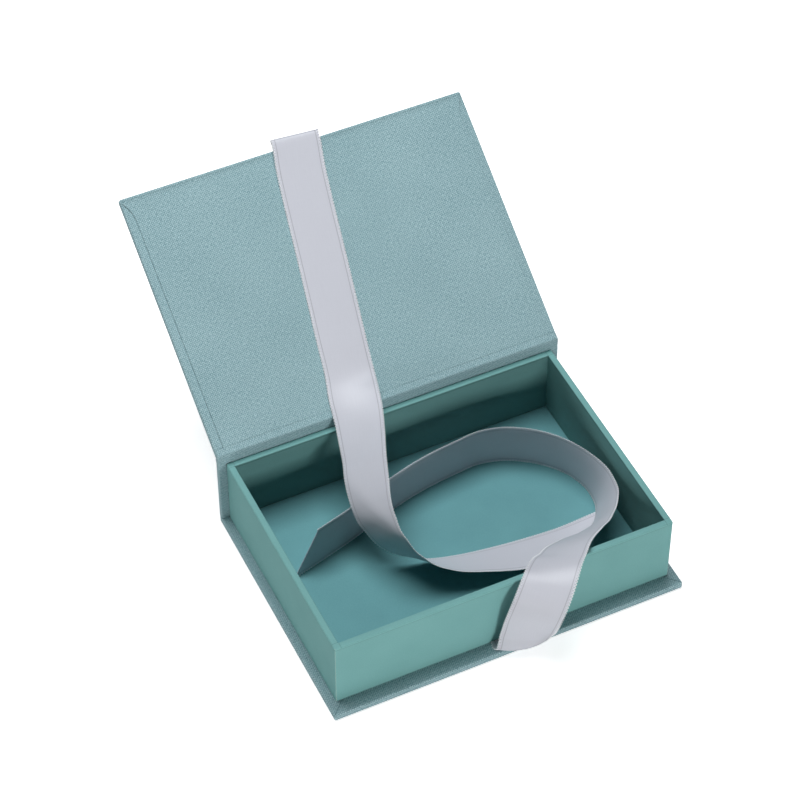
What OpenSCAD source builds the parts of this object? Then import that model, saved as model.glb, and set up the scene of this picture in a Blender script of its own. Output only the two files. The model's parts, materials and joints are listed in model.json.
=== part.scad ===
// Book-style keepsake box: a paper-covered tray on the base of a cloth case, a lid that
// turns on the cloth along the top of the spine, and two tie ribbons that lie loose.
// +Z is up, X runs along the hinge and the front faces -Y. Millimetres.

/* [Tray] */
// Clear width inside the tray
inner_w = 165.8; // [130:0.1:200]
// Clear depth inside the tray
inner_d = 115.8; // [100:0.1:150]
// Clear height inside the tray, from the lining to the top of the walls
inner_h = 36.4; // [32:0.1:60]
// Thickness of the wall boards
wall_t = 2.5; // [1.5:0.1:4]
// Thickness of the floor board
floor_t = 1.5; // [1:0.1:3]
// Thickness of the covering and lining papers
paper_t = 0.3; // [0.2:0.05:0.5]
// How far the wrapping paper reaches down inside the walls
paper_lip = 2; // [1:0.5:10]
// Thickness of the stay tape on the corners
tape_t = 0.1; // [0.05:0.01:0.15]
// Length of each leg of the stay tape
tape_leg = 12; // [6:1:20]
// Rounding where the paper folds over the walls' tops
paper_round = 0.8; // [0.3:0.1:1.2]

/* [Case] */
// Thickness of the base board and the lid board
board_t = 3; // [2:0.1:4]
// Thickness of the case cloth
cloth_t = 0.4; // [0.2:0.05:0.6]
// Distance by which the case stands out past the tray at each side
side_over = 4; // [2:0.1:8]
// Distance by which the case stands out past the tray at the front
front_over = 7.4; // [4:0.1:12]
// Width of the cloth that is turned in over the boards' edges
turn_in = 15; // [8:1:25]
// Thickness of the spine board
spine_t = 2.2; // [1.5:0.1:3.5]
// Distance from the top of the spine down from the top of the tray
spine_drop = 0.5; // [0.2:0.1:2]

/* [Lid] */
// Lean of the open lid above the table, in degrees
lid_lean = 33.1; // [25:0.1:70]
// Clearance between the closed lid's lining and the tray
lid_clear = 0.25; // [0.1:0.05:1]
// Depth of the hinge line below the lid's outer face
axis_depth = 1.4; // [1:0.1:2]
// Distance of the hinge line in from the spine's outer face
axis_in = 1; // [0.6:0.1:1.6]
// Length of the lid behind the hinge line
lid_heel = 0.45; // [0.3:0.05:0.6]
// Thickness of the card behind the lid's lining
card_t = 0.45; // [0.3:0.05:0.8]
// Thickness of the lining cloth
lining_t = 0.25; // [0.15:0.05:0.4]
// Inset of the lining from the lid's left and right edges
lining_side = 4.5; // [2:0.1:10]
// Inset of the lining from the lid's fore edge
lining_fore = 2; // [1:0.1:6]
// Distance of the lining from the hinge line
lining_heel = 3.5; // [2.5:0.1:8]

/* [Hinge cloth] */
// Width of the slack fold in the cloth outside the hinge
slack = 1.3; // [0.8:0.1:1.6]
// Gap left for the paste where the hinge cloth meets the lid
paste_gap = 0.05; // [0.02:0.01:0.1]

/* [Ribbons] */
// Width of both ribbons
ribbon_w = 23.5; // [16:0.5:25]
// Thickness of both ribbons
ribbon_t = 0.3; // [0.2:0.05:0.35]
// Clearance round a ribbon's held end
ribbon_clear = 0.5; // [0.3:0.1:1]
// Clearance between the base ribbon's loop and the tray's right wall
loop_clear = 2.9; // [1.5:0.1:8]
// Length of the lid ribbon that is held under the lining
lid_hold = 20; // [12:1:30]
// Length of the base ribbon that is held under the tray's floor
base_hold = 20; // [12:1:30]
// Length of the slanted cut on the lid ribbon's end
lid_cut = 23.5; // [5:0.5:30]
// Length of the slanted cut on the base ribbon's end
base_cut = 15; // [5:0.5:30]

/* [Hidden] */

eps = 0.01;
case_color = "#6f8f8d";
tray_color = "#5b9a93";
board_color = "#b7aa94";
ribbon_color = "#c3c5ca";

// Tray: outer sizes grow outward from the clear inside.
board_w = inner_w + 2 * paper_t;
board_d = inner_d + 2 * paper_t;
tray_w = board_w + 2 * wall_t + 2 * paper_t;
tray_d = board_d + 2 * wall_t + 2 * paper_t;

// Case: the base's own footprint is centred on the origin.
spine_d = spine_t + 2 * cloth_t;
case_t = board_t + 2 * cloth_t;
case_w = tray_w + 2 * side_over;
case_d = tray_d + front_over + spine_d;
case_y = -case_d / 2;
tray_y = case_y + front_over;
tray_back_y = tray_y + tray_d;
inner_y = tray_y + paper_t + wall_t + paper_t;
floor_z = case_t + floor_t + paper_t;
tray_z = floor_z + inner_h;
wall_h = tray_z - paper_t - case_t;

// Hinge line and the lid's own layers, measured square to the lid from that line.
spine_z = tray_z - spine_drop;
lining_h = case_t - axis_depth + card_t + lining_t;
face_h = case_t - axis_depth;
axis_y = case_d / 2 - axis_in;
axis_z = tray_z + lid_clear + lining_h;
lid_end = axis_y + case_d / 2;
lid_back = -lid_heel;
card_end = lid_end - lining_fore;

// A point of the YZ section of the lid: s along the lid, h square to it on its inner side.
function lid2(s, h) = [
    axis_y + s * cos(lid_lean) - h * sin(lid_lean),
    axis_z + s * sin(lid_lean) + h * cos(lid_lean)];
function on_lid(x, s, h) = [x, lid2(s, h)[0], lid2(s, h)[1]];

module on_lid_frame() {
    translate([0, axis_y, axis_z])
        rotate([lid_lean, 0, 0])
            children();
}

// A section in YZ, drawn out along X over the width w.
module along_x(w, points) {
    translate([-w / 2, 0, 0])
        rotate([90, 0, 90])
            linear_extrude(height = w)
                polygon(points);
}

// A board wrapped in cloth: turned in on the face at the top, square at the corners.
module wrapped(w, y0, y1, z0, t, c, turn_y0, turn_y1) {
    difference() {
        translate([-w / 2, y0, z0])
            cube([w, y1 - y0, t]);
        translate([-w / 2 + c, y0 + c, z0 + c])
            cube([w - 2 * c, y1 - y0 - 2 * c, t - 2 * c]);
        translate([-w / 2 + turn_in, y0 + turn_y0, z0 + t - c - eps])
            cube([w - 2 * turn_in, y1 - y0 - turn_y0 - turn_y1, c + 2 * eps]);
    }
}

module base_board() {
    color(board_color)
        translate([-case_w / 2 + cloth_t, case_y + cloth_t, cloth_t])
            cube([case_w - 2 * cloth_t, case_d - 2 * cloth_t, board_t]);
}

module base_cloth() {
    color(case_color)
        wrapped(case_w, case_y, -case_y, 0, case_t, cloth_t, turn_in, turn_in);
}

module spine_board() {
    color(board_color)
        translate([-case_w / 2 + cloth_t, tray_back_y + cloth_t, case_t])
            cube([case_w - 2 * cloth_t, spine_t, spine_z - cloth_t - case_t]);
}

module spine_cloth() {
    color(case_color)
        difference() {
            translate([-case_w / 2, tray_back_y, case_t])
                cube([case_w, spine_d, spine_z - case_t]);
            translate([-case_w / 2 + cloth_t, tray_back_y + cloth_t, case_t - eps])
                cube([case_w - 2 * cloth_t, spine_t, spine_z - cloth_t - case_t + eps]);
        }
}

// The slack fold between the spine's outer top edge and the lid's outer edge.
module hinge_cloth_outer() {
    y1 = case_d / 2;
    y0 = y1 - cloth_t;
    mid = (spine_z + lid2(lid_back, -axis_depth)[1]) / 2;
    top = lid2(lid_back - paste_gap, -axis_depth);
    tip = lid2(lid_back - paste_gap, -axis_depth + cloth_t);
    color(case_color)
        along_x(case_w, [
            [y1, spine_z],
            [y1 + slack * 0.65, spine_z + cloth_t],
            [y1 + slack, mid - 0.1],
            [y1 + slack * 0.75, mid + cloth_t],
            [y1 + slack * 0.1, mid + cloth_t + 0.3],
            top,
            tip,
            [top[0] - 0.45, top[1]],
            [top[0] - 0.2, mid + cloth_t + 0.1],
            [y1, mid + 0.2],
            [y1 + slack - cloth_t - 0.1, mid + 0.05],
            [y1 + slack - cloth_t, mid - 0.1],
            [y1 + slack * 0.4, spine_z + cloth_t + 0.3],
            [y0, spine_z + cloth_t],
            [y0, spine_z]]);
}

// The cloth that stands between the spine and the lid and turns onto the lid's inner face.
module hinge_cloth_inner() {
    y0 = tray_back_y;
    y1 = y0 + cloth_t;
    h0 = face_h + paste_gap;
    h1 = h0 + cloth_t;
    s0 = lid_back - paste_gap;
    s1 = lining_heel - 2 * paste_gap;
    rise = (spine_z + axis_z) / 2;
    color(case_color)
        along_x(case_w, [
            [y0, spine_z],
            [y0, tray_z + 0.3],
            [y0 - 0.25, rise + 0.6],
            lid2(s0 - 0.2, h0),
            lid2(s0, h1 - 0.1),
            lid2(s0 + 0.3, h1),
            lid2(s1, h1),
            lid2(s1, h0),
            lid2(s0, h0),
            lid2(s0, h0 - 0.5),
            [y0 + 0.15, rise + 0.6],
            [y1, tray_z + 0.3],
            [y1, spine_z]]);
}

module lid_board() {
    color(board_color)
        on_lid_frame()
            translate([-case_w / 2 + cloth_t, lid_back + cloth_t, -axis_depth + cloth_t])
                cube([case_w - 2 * cloth_t, lid_end - lid_back - 2 * cloth_t, board_t]);
}

module lid_cloth() {
    color(case_color)
        on_lid_frame()
            wrapped(case_w, lid_back, lid_end, -axis_depth, case_t, cloth_t, turn_in, turn_in);
}

// The card has a notch at the fore edge in which the ribbon's held end lies.
module lid_lining_card() {
    notch = ribbon_w + 2 * ribbon_clear;
    color(board_color)
        on_lid_frame()
            difference() {
                translate([-case_w / 2 + lining_side, lining_heel, face_h])
                    cube([case_w - 2 * lining_side, card_end - lining_heel, card_t]);
                translate([lid_ribbon_x - notch / 2, card_end - lid_hold - ribbon_clear,
                    face_h - eps])
                    cube([notch, lid_hold + 2 * ribbon_clear, card_t + 2 * eps]);
            }
}

module lid_lining_cloth() {
    color(case_color)
        on_lid_frame()
            translate([-case_w / 2 + lining_side, lining_heel, face_h + card_t])
                cube([case_w - 2 * lining_side, card_end - lining_heel, lining_t]);
}

// A shallow passage for the base ribbon's held end, under the front wall and the floor.
module ribbon_passage() {
    w = ribbon_w + 2 * ribbon_clear;
    translate([base_ribbon_x - w / 2, tray_y - 1, case_t - eps])
        cube([w, wall_t + paper_t + base_hold + 1 + 2 * ribbon_clear, ribbon_t + 0.2 + eps]);
}

module tray_floor_board() {
    color(board_color)
        difference() {
            translate([-board_w / 2, inner_y - paper_t, case_t])
                cube([board_w, board_d, floor_t]);
            ribbon_passage();
        }
}

module tray_front_board() {
    color(board_color)
        difference() {
            translate([-board_w / 2 - wall_t, tray_y + paper_t, case_t])
                cube([board_w + 2 * wall_t, wall_t, wall_h]);
            ribbon_passage();
        }
}

module tray_back_board() {
    color(board_color)
        translate([-board_w / 2 - wall_t, tray_back_y - paper_t - wall_t, case_t])
            cube([board_w + 2 * wall_t, wall_t, wall_h]);
}

module side_wall(x) {
    color(board_color)
        translate([x, inner_y - paper_t, case_t])
            cube([wall_t, board_d, wall_h]);
}

module tray_left_board() {
    side_wall(-board_w / 2 - wall_t);
}

module tray_right_board() {
    side_wall(board_w / 2);
}

// One L-shaped tape round an outer corner of the boards; grow widens it for the paper's fit.
module tape(sx, sy) {
    x = sx * (board_w / 2 + wall_t);
    y = sy > 0 ? tray_back_y - paper_t : tray_y + paper_t;
    translate([x, y, case_t])
        mirror([sx > 0 ? 1 : 0, 0, 0])
            mirror([0, sy > 0 ? 1 : 0, 0])
                difference() {
                    translate([-tape_t, -tape_t, 0])
                        cube([tape_leg, tape_leg, wall_h]);
                    translate([0, 0, -1])
                        cube([tape_leg, tape_leg, wall_h + 2]);
                }
}

module tapes() {
    for (sx = [-1, 1])
        for (sy = [-1, 1])
            tape(sx, sy);
}

module corner_tapes() {
    color("#e6dfcf")
        tapes();
}

// Paper over the outside, the tops and a short way down the inside of the walls.
module tray_wrap_paper() {
    r = paper_round;
    color(tray_color)
        difference() {
            intersection() {
                translate([-tray_w / 2, tray_y, case_t])
                    cube([tray_w, tray_d, tray_z - case_t]);
                along_x(tray_w + 2, [
                    [tray_y, case_t - 1], [tray_y, tray_z - paper_t * r],
                    [tray_y + paper_t * r, tray_z],
                    [tray_back_y - paper_t * r, tray_z],
                    [tray_back_y, tray_z - paper_t * r], [tray_back_y, case_t - 1]]);
            }
            translate([-board_w / 2 - wall_t, tray_y + paper_t, case_t - eps])
                cube([board_w + 2 * wall_t, board_d + 2 * wall_t, wall_h + eps]);
            translate([-inner_w / 2, inner_y, case_t - 1])
                cube([inner_w, inner_d, tray_z]);
            ribbon_passage();
            tapes();
        }
    color(tray_color)
        difference() {
            translate([-board_w / 2, inner_y - paper_t, tray_z - paper_t - paper_lip])
                cube([board_w, board_d, paper_lip + paper_t / 2]);
            translate([-inner_w / 2, inner_y, case_t])
                cube([inner_w, inner_d, tray_z]);
        }
}

module tray_wall_lining() {
    color(tray_color)
        difference() {
            translate([-board_w / 2, inner_y - paper_t, floor_z - paper_t])
                cube([board_w, board_d, inner_h - paper_lip]);
            translate([-inner_w / 2, inner_y, case_t])
                cube([inner_w, inner_d, tray_z]);
        }
}

module tray_floor_lining() {
    color(tray_color)
        translate([-inner_w / 2, inner_y, floor_z - paper_t])
            cube([inner_w, inner_d, paper_t]);
}

// Ribbons. Each route is two rows of points, one along each edge of the ribbon. A smooth curve
// runs through both, and the ribbon's true width is laid out from the line midway between them.
lid_ribbon_x = 2;
base_ribbon_x = 5;
per_span = 2;

function smooth(a, b, c, d, t) = 0.5 * (2 * b + (c - a) * t + (2 * a - 5 * b + 4 * c - d) * t * t
    + (3 * b - a - 3 * c + d) * t * t * t);
function at(p, i) = p[min(max(i, 0), len(p) - 1)];
function curve(p) = [
    for (i = [0 : len(p) - 2])
        for (k = [0 : per_span - 1])
            smooth(at(p, i - 1), p[i], p[i + 1], at(p, i + 2), k / per_span),
    p[len(p) - 1]];
function unit(v) = v / norm(v);
function total(v, i) = i < 0 ? 0 : v[i] + total(v, i - 1);

// A strip: left, mid and right are the curves of its edges and middle line, cut is the length of the
// slanted end and short_side is 1 where the left edge is the shorter one and -1 where the right edge
// is. Across, the strip follows a bow through the three curves, as long as the ribbon is wide.
module strip(left, mid, right, cut, short_side) {
    n = len(left);
    chord = [for (i = [0 : n - 1]) norm(left[i] - right[i])];
    sag = [for (i = [0 : n - 1]) norm((left[i] + right[i]) / 2 - mid[i])];
    grow = [for (i = [0 : n - 1]) ribbon_w / (chord[i] + 8 / 3 * sag[i] * sag[i] / chord[i])];
    side = [for (i = [0 : n - 1]) grow[i] / 2 * (left[i] - right[i])];
    bow = [for (i = [0 : n - 1]) grow[i] * ((left[i] + right[i]) / 2 - mid[i])];
    step = [for (i = [0 : n - 2]) norm(mid[i + 1] - mid[i])];
    whole = total(step, n - 2);
    left_over = [for (i = [0 : n - 1]) max(0, whole - total(step, i - 1))];
    pull = [for (i = [0 : n - 1]) 2 * min(0.97, max(0, 1 - left_over[i] / cut))];
    t_left = [for (i = [0 : n - 1]) 1 - (short_side > 0 ? pull[i] : 0)];
    t_right = [for (i = [0 : n - 1]) (short_side > 0 ? 0 : pull[i]) - 1];
    function spot(i, t) =
        let (k = min(max(i, 0), n - 1)) mid[k] + t * side[k] + t * t * bow[k];
    function off(i, t) = ribbon_t / 2
        * unit(cross(spot(i + 1, t) - spot(i - 1, t), side[i] + 2 * t * bow[i]));
    points = [
        for (i = [0 : n - 1])
            let (l = t_left[i], r = t_right[i], m = (l + r) / 2) each [
                spot(i, l) + off(i, l), spot(i, m) + off(i, m), spot(i, r) + off(i, r),
                spot(i, r) - off(i, r), spot(i, m) - off(i, m), spot(i, l) - off(i, l)]];
    // Both faces are split along the same diagonal, so that a twisted stretch keeps its thickness.
    skin = [
        for (i = [0 : n - 2])
            let (j = 6 * i) each [
                [j, j + 1, j + 7], [j, j + 7, j + 6],
                [j + 1, j + 2, j + 8], [j + 1, j + 8, j + 7],
                [j + 2, j + 3, j + 9], [j + 2, j + 9, j + 8],
                [j + 3, j + 4, j + 9], [j + 4, j + 10, j + 9],
                [j + 4, j + 5, j + 10], [j + 5, j + 11, j + 10],
                [j + 5, j, j + 6], [j + 5, j + 6, j + 11]]];
    last = 6 * (n - 1);
    ends = [
        [0, 5, 1], [1, 5, 4], [1, 4, 2], [2, 4, 3],
        [last, last + 1, last + 5], [last + 1, last + 4, last + 5],
        [last + 1, last + 2, last + 4], [last + 2, last + 3, last + 4]];
    polyhedron(points = points, faces = concat(skin, ends), convexity = 12);
}

// The middle line lies midway between the edges, apart from the points of curl, which take the
// places from first on.
function middle(left, right, curl = [], first = 0) = [
    for (i = [0 : len(left) - 1])
        i >= first && i < first + len(curl) ? curl[i - first] : (left[i] + right[i]) / 2];

lid_in = face_h + ribbon_t / 2 + 0.07;
lid_on = lining_h + ribbon_t / 2 + 0.25;
lid_x0 = lid_ribbon_x - ribbon_w / 2;
lid_x1 = lid_ribbon_x + ribbon_w / 2;
lid_left = concat([
    on_lid(lid_x0, card_end - lid_hold, lid_in), on_lid(lid_x0, card_end - 8, lid_in),
    on_lid(lid_x0, card_end, lid_in), on_lid(lid_x0 + 0.2, lid_end + 2.6, lid_in),
    on_lid(lid_x0 + 0.4, lid_end + 4.6, lid_in + 0.7),
    on_lid(lid_x0 + 0.4, lid_end + 4.6, lid_in + 2),
    on_lid(lid_x0, lid_end + 2.6, lid_on + 1.7), on_lid(-10.4, lid_end - 2, lid_on + 1.5),
    on_lid(-12.5, 119, lid_on + 0.7), on_lid(-15.5, 99, lid_on + 0.1),
    on_lid(-18.5, 78, lid_on), on_lid(-21.5, 57, lid_on), on_lid(-24.5, 36, lid_on),
    on_lid(-26.8, 19, lid_on + 0.2)], [
    [-28.5, 69.5, 53], [-30.5, 60, 47.5], [-33, 51, 43], [-35.5, 41, 39.5], [-37.5, 36, 38],
    [-39, 30.5, 36], [-40, 25, 33.5], [-40.5, 20, 30.5], [-40, 15, 27], [-38, 10.5, 23.5],
    [-35.5, 6.5, 19.5], [-32, 3, 16.5], [-27.5, 0.5, 13.5], [-22.5, -1.5, 11], [-17, -3.5, 9],
    [-11.5, -5, 7.5], [-2.5, -7, 6.5], [9, -9, 6], [24.5, -11, 6], [38.5, -12.3, 6],
    [50, -13, 6], [58.5, -13, 6], [66, -12.5, 6], [73.5, -12, 6]]);
lid_right = concat([
    on_lid(lid_x1, card_end - lid_hold, lid_in), on_lid(lid_x1, card_end - 8, lid_in),
    on_lid(lid_x1, card_end, lid_in), on_lid(lid_x1 - 0.2, lid_end + 1.2, lid_in),
    on_lid(lid_x1 - 0.4, lid_end + 3, lid_in + 0.7),
    on_lid(lid_x1 - 0.4, lid_end + 3, lid_in + 2),
    on_lid(lid_x1 - 0.7, lid_end + 1.2, lid_on + 1.7), on_lid(12.2, lid_end - 4, lid_on + 1.5),
    on_lid(10, 115.5, lid_on + 0.7), on_lid(7.4, 95.5, lid_on + 0.1),
    on_lid(4.8, 74.5, lid_on), on_lid(1.8, 53.5, lid_on), on_lid(-1.2, 32.5, lid_on),
    on_lid(-3.6, 15.5, lid_on + 0.1)], [
    [-7.5, 64, 56], [-10.5, 52.5, 55.5], [-14, 42, 54], [-18.5, 31.5, 52.5], [-20.5, 26, 51],
    [-22.5, 20.5, 49.5], [-24.5, 15, 48], [-26.5, 9.5, 46.5], [-28, 4, 44], [-28.5, -1, 41.5],
    [-28.5, -6, 38], [-27, -10.5, 34.5], [-25, -15, 31], [-21.5, -18.5, 27.5],
    [-17.5, -21.5, 24], [-12.5, -24, 21.5], [-5, -26.5, 18.5], [6.5, -29.5, 16],
    [21, -33, 13.5], [37, -35, 12], [48.5, -36, 10.5], [58.5, -36, 8.5], [66, -35.8, 7.2],
    [73.5, -35.5, 6.5]]);

// The base ribbon's route inside the tray is drawn loop_x wide of the middle at its widest, and
// is stretched along X so that the loop stays loop_clear away from the right wall.
base_z = case_t + ribbon_t / 2 + 0.1;
base_x0 = base_ribbon_x - ribbon_w / 2;
base_x1 = base_ribbon_x + ribbon_w / 2;
loop_x = 80;
stretch = (inner_w / 2 - loop_clear) / loop_x;
function in_tray(points) = [for (p = points) [p[0] * stretch, p[1], p[2]]];
base_low = concat([
    [base_x0, tray_y + paper_t + wall_t + base_hold, base_z], [base_x0, tray_y + 8, base_z],
    [base_x0, tray_y + 1, base_z]], in_tray([[-8.5, -62.3, base_z + 0.1], [-8.9, -64, 5.4],
    [-7.7, -63.6, 8], [-5.6, -63, 12], [-4, -64, 18], [-3, -65, 24.5], [-1.5, -65.5, 31.5],
    [1, -65, 37.5], [4.5, -62.8, 42], [9, -58.7, 44], [13.5, -54, 43.2],
    [18.5, -49.5, 41], [23, -46, 37.5], [28, -42, 34.5], [32.5, -39, 31.5],
    [37.5, -36.5, 28.5], [42.5, -33.5, 25], [47, -31.5, 21.5], [52, -29, 18],
    [57.5, -26.5, 14.5], [62.5, -23.5, 11.5], [67, -19.5, 9.5], [71, -14.5, 7.5],
    [74, -9, 6.5], [75.5, -2.5, 6], [75.5, 4, 6], [74, 10, 6], [71.5, 16, 6],
    [66.5, 23, 6], [58.5, 30.5, 6], [47.5, 37, 6], [35, 40, 6], [22, 39, 6],
    [9.5, 37.5, 6], [-3, 35, 6], [-15.5, 31.5, 6], [-27.5, 27.5, 6], [-40, 23, 6],
    [-52, 19.5, 6], [-64.5, 16, 6], [-74, 13.5, 6]]));
base_high = concat([
    [base_x1, tray_y + paper_t + wall_t + base_hold, base_z], [base_x1, tray_y + 8, base_z],
    [base_x1, tray_y + 0.5, base_z]], in_tray([[16, -65.5, base_z + 0.1], [17, -69.5, 4.9],
    [17.2, -70.8, 6.5], [17, -72, 9.5], [16.5, -74.5, 14.5], [16, -77, 20], [16.5, -79, 26],
    [18, -79.5, 32], [21, -78, 37.5], [25, -75, 42], [29.5, -70.5, 45],
    [34, -65.5, 46.5], [39, -61, 46.5], [43.5, -56, 45.5], [48, -52, 44],
    [53, -48, 41.5], [57.5, -44.5, 39], [62.5, -41, 36.5], [67, -36.5, 34.5],
    [71, -32, 32.5], [75, -26.5, 31], [78, -21, 30], [79.5, -14.5, 29.5],
    [80, -8, 29.5], [79, -2, 29.5], [77, 4.5, 29.5], [74.5, 10.5, 29.5], [71.5, 16, 29.5],
    [66.5, 23, 29.5], [58.5, 30.5, 29.5], [47.5, 37, 29.5], [35, 40, 29.5], [22, 39, 29.5],
    [9.5, 37.5, 29.5], [-3, 35, 29.5], [-15.5, 31.5, 29.5], [-27.5, 27.5, 29.5],
    [-40, 23, 29.5], [-52, 19.5, 29.5], [-64.5, 16, 29.5], [-74, 13.5, 29.5]]));
// Where the base ribbon turns up from under the tray its middle line is drawn too, from the
// fourth point on.
base_curl = in_tray([
    [4, -65.5, base_z + 0.1], [3.5, -69.5, 4.6], [4.5, -70, 7], [5.7, -69.5, 10.5],
    [6.3, -70.2, 16.2]]);

module lid_ribbon() {
    color(ribbon_color)
        strip(curve(lid_left), curve(middle(lid_left, lid_right)),
            curve(lid_right), lid_cut, -1);
}

module base_ribbon() {
    color(ribbon_color)
        strip(curve(base_high), curve(middle(base_high, base_low, base_curl, 3)), curve(base_low),
            base_cut, 1);
}

base_board();
base_cloth();
spine_board();
spine_cloth();
hinge_cloth_outer();
hinge_cloth_inner();
lid_board();
lid_cloth();
lid_lining_card();
lid_lining_cloth();
tray_floor_board();
tray_front_board();
tray_back_board();
tray_left_board();
tray_right_board();
corner_tapes();
tray_wrap_paper();
tray_wall_lining();
tray_floor_lining();
lid_ribbon();
base_ribbon();
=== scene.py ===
# %% [markdown]
# # A keepsake box that opens like a book
# The box is a shallow paper-covered tray pasted on the base of a cloth case. The case is three
# boards in one piece of book cloth, so that the lid turns on the cloth along the spine. Two satin
# ribbons with looped edges tie it shut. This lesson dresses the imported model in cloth, paper and
# satin, a piece at a time. All places are in millimetres until a mesh is made.

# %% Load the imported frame
import json
import math
import bpy
import numpy as np
from mathutils import Matrix, Vector


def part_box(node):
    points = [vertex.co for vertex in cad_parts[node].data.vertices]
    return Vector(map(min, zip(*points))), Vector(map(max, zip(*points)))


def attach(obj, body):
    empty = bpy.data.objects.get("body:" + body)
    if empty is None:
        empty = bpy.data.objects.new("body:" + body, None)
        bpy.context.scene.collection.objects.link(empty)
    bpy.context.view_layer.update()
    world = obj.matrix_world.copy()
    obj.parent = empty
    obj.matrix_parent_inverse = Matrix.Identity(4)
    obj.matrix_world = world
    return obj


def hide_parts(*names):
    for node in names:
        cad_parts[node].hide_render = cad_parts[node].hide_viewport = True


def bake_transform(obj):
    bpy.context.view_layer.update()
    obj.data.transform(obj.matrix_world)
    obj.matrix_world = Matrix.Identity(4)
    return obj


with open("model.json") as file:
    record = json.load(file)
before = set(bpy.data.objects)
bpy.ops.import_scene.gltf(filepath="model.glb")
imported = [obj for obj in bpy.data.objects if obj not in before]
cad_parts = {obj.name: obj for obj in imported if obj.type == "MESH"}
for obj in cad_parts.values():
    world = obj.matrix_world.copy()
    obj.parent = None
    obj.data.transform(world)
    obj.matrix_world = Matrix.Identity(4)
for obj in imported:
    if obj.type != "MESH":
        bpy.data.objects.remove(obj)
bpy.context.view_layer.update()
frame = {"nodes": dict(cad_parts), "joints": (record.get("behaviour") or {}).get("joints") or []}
MM = 0.001

# %% [markdown]
# ## The camera
# The picture was taken from the front left, well above the table, with a long lens. A camera could
# be aimed at a target, but its place and turn were worked out from the straight edges of the tray
# and the lid, so they are set as numbers.

# %% Camera
camera_data = bpy.data.cameras.new("camera")
camera = bpy.data.objects.new("camera", camera_data)
bpy.context.scene.collection.objects.link(camera)
camera.location = (-0.3991, -0.7805, 1.0611)
camera.rotation_euler = (math.radians(42.592), 0, math.radians(-25.565))
camera_data.lens = 129.95
camera_data.sensor_width = 36
camera_data.clip_start = 0.05
bpy.context.scene.camera = camera
print("camera:", tuple(camera.location))

# %% [markdown]
# ## The box's own sizes
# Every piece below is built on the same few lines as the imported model: the tray's outside, the case
# that stands out round it, and the hinge line. The nodes' boxes give most of them.

# %% Sizes
def corners(node):
    low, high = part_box(node)
    return [v / MM for v in low], [v / MM for v in high]

base_low, base_high = corners("base_cloth")
tray_low, tray_high = corners("tray_wrap_paper")
floor_low, floor_high = corners("tray_floor_lining")
spine_low, spine_high = corners("spine_cloth")
CASE_W = base_high[0] - base_low[0]
CASE_Y = base_high[1]
CASE_T = base_high[2]
HINGE = [v / MM for v in frame["joints"][0]["pos_m"]]
LEAN = math.radians(33.1)
LID_BACK, LID_END = -0.45, HINGE[1] + CASE_Y
FACE_H, LINING_H, OUTER_H = 2.4, 3.1, -1.4
print("case", round(CASE_W, 1), "x", round(2 * CASE_Y, 1))
print("hinge line", [round(v, 2) for v in HINGE])

def on_lid(x, s, h):
    """A point of the open lid: s along it from the hinge line, h square to it, inner side up."""
    c, k = math.cos(LEAN), math.sin(LEAN)
    return (x, HINGE[1] + s * c - h * k, HINGE[2] + s * k + h * c)

# %% [markdown]
# ## Small tools for making meshes
# Most pieces are lofts: rings of points, one above the other, joined by faces. A loft keeps every
# rounded edge even and gives clean faces. Each mesh also gets a flat map in millimetres, taken
# square to each face, so that a weave has its true size on every side of a board.

# %% Mesh tools
def make_piece(name, points, faces, sharp=35.0):
    mesh = bpy.data.meshes.new(name)
    mesh.from_pydata([tuple(p) for p in points], [], faces)
    mesh.update()
    for polygon in mesh.polygons:
        polygon.use_smooth = True
    mesh.set_sharp_from_angle(angle=math.radians(sharp))
    piece = bpy.data.objects.new(name, mesh)
    bpy.context.scene.collection.objects.link(piece)
    return piece

def box_map(piece):
    """Lays the surface flat, face by face, in millimetres."""
    mesh = piece.data
    layer = mesh.uv_layers.new(name="cloth")
    for polygon in mesh.polygons:
        n = [abs(v) for v in polygon.normal]
        axis = n.index(max(n))
        for i in polygon.loop_indices:
            p = mesh.vertices[mesh.loops[i].vertex_index].co
            layer.data[i].uv = [(p.y, p.z), (p.x, p.z), (p.x, p.y)][axis]

def to_metres(piece, leaning=False):
    """Places a piece made in millimetres; leaning turns lid measures into the lid's own place."""
    if leaning:
        place = Matrix.Translation((0, HINGE[1], HINGE[2])) @ Matrix.Rotation(LEAN, 4, "X")
        piece.data.transform(place)
    piece.data.transform(Matrix.Scale(MM, 4))
    piece.data.update()

def loft(name, rings, capped=True, sharp=35.0):
    """Joins closed rings of points in order, and closes both ends where it is capped."""
    n = len(rings[0])
    points = [p for ring in rings for p in ring]
    faces = []
    for i in range(len(rings) - 1):
        for k in range(n):
            a, b = i * n + k, i * n + (k + 1) % n
            faces.append((a, b, b + n, a + n))
    if capped:
        faces.append(tuple(reversed(range(n))))
        faces.append(tuple(range(len(points) - n, len(points))))
    return make_piece(name, points, faces, sharp)

CORNER_STEPS = 6

def rounded_ring(x0, x1, y0, y1, r, z):
    """A level rectangle with rounded corners, counter-clockwise from above."""
    ring = []
    for cx, cy, start in ((x1 - r, y0 + r, -90), (x1 - r, y1 - r, 0),
                          (x0 + r, y1 - r, 90), (x0 + r, y0 + r, 180)):
        for k in range(CORNER_STEPS + 1):
            a = math.radians(start + 90 * k / CORNER_STEPS)
            ring.append((cx + r * math.cos(a), cy + r * math.sin(a), z))
    return ring

def body_piece(piece, finish, body, slot, *nodes):
    """Maps, scales and finishes a piece, and names what it moves with and its nodes; its slot is not
    used.
    """
    box_map(piece)
    to_metres(piece, leaning=body == "lid")
    piece.data.materials.append(finish)
    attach(piece, body)
    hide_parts(*nodes)
    print(piece.name, len(piece.data.polygons), "faces on", body)

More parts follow.
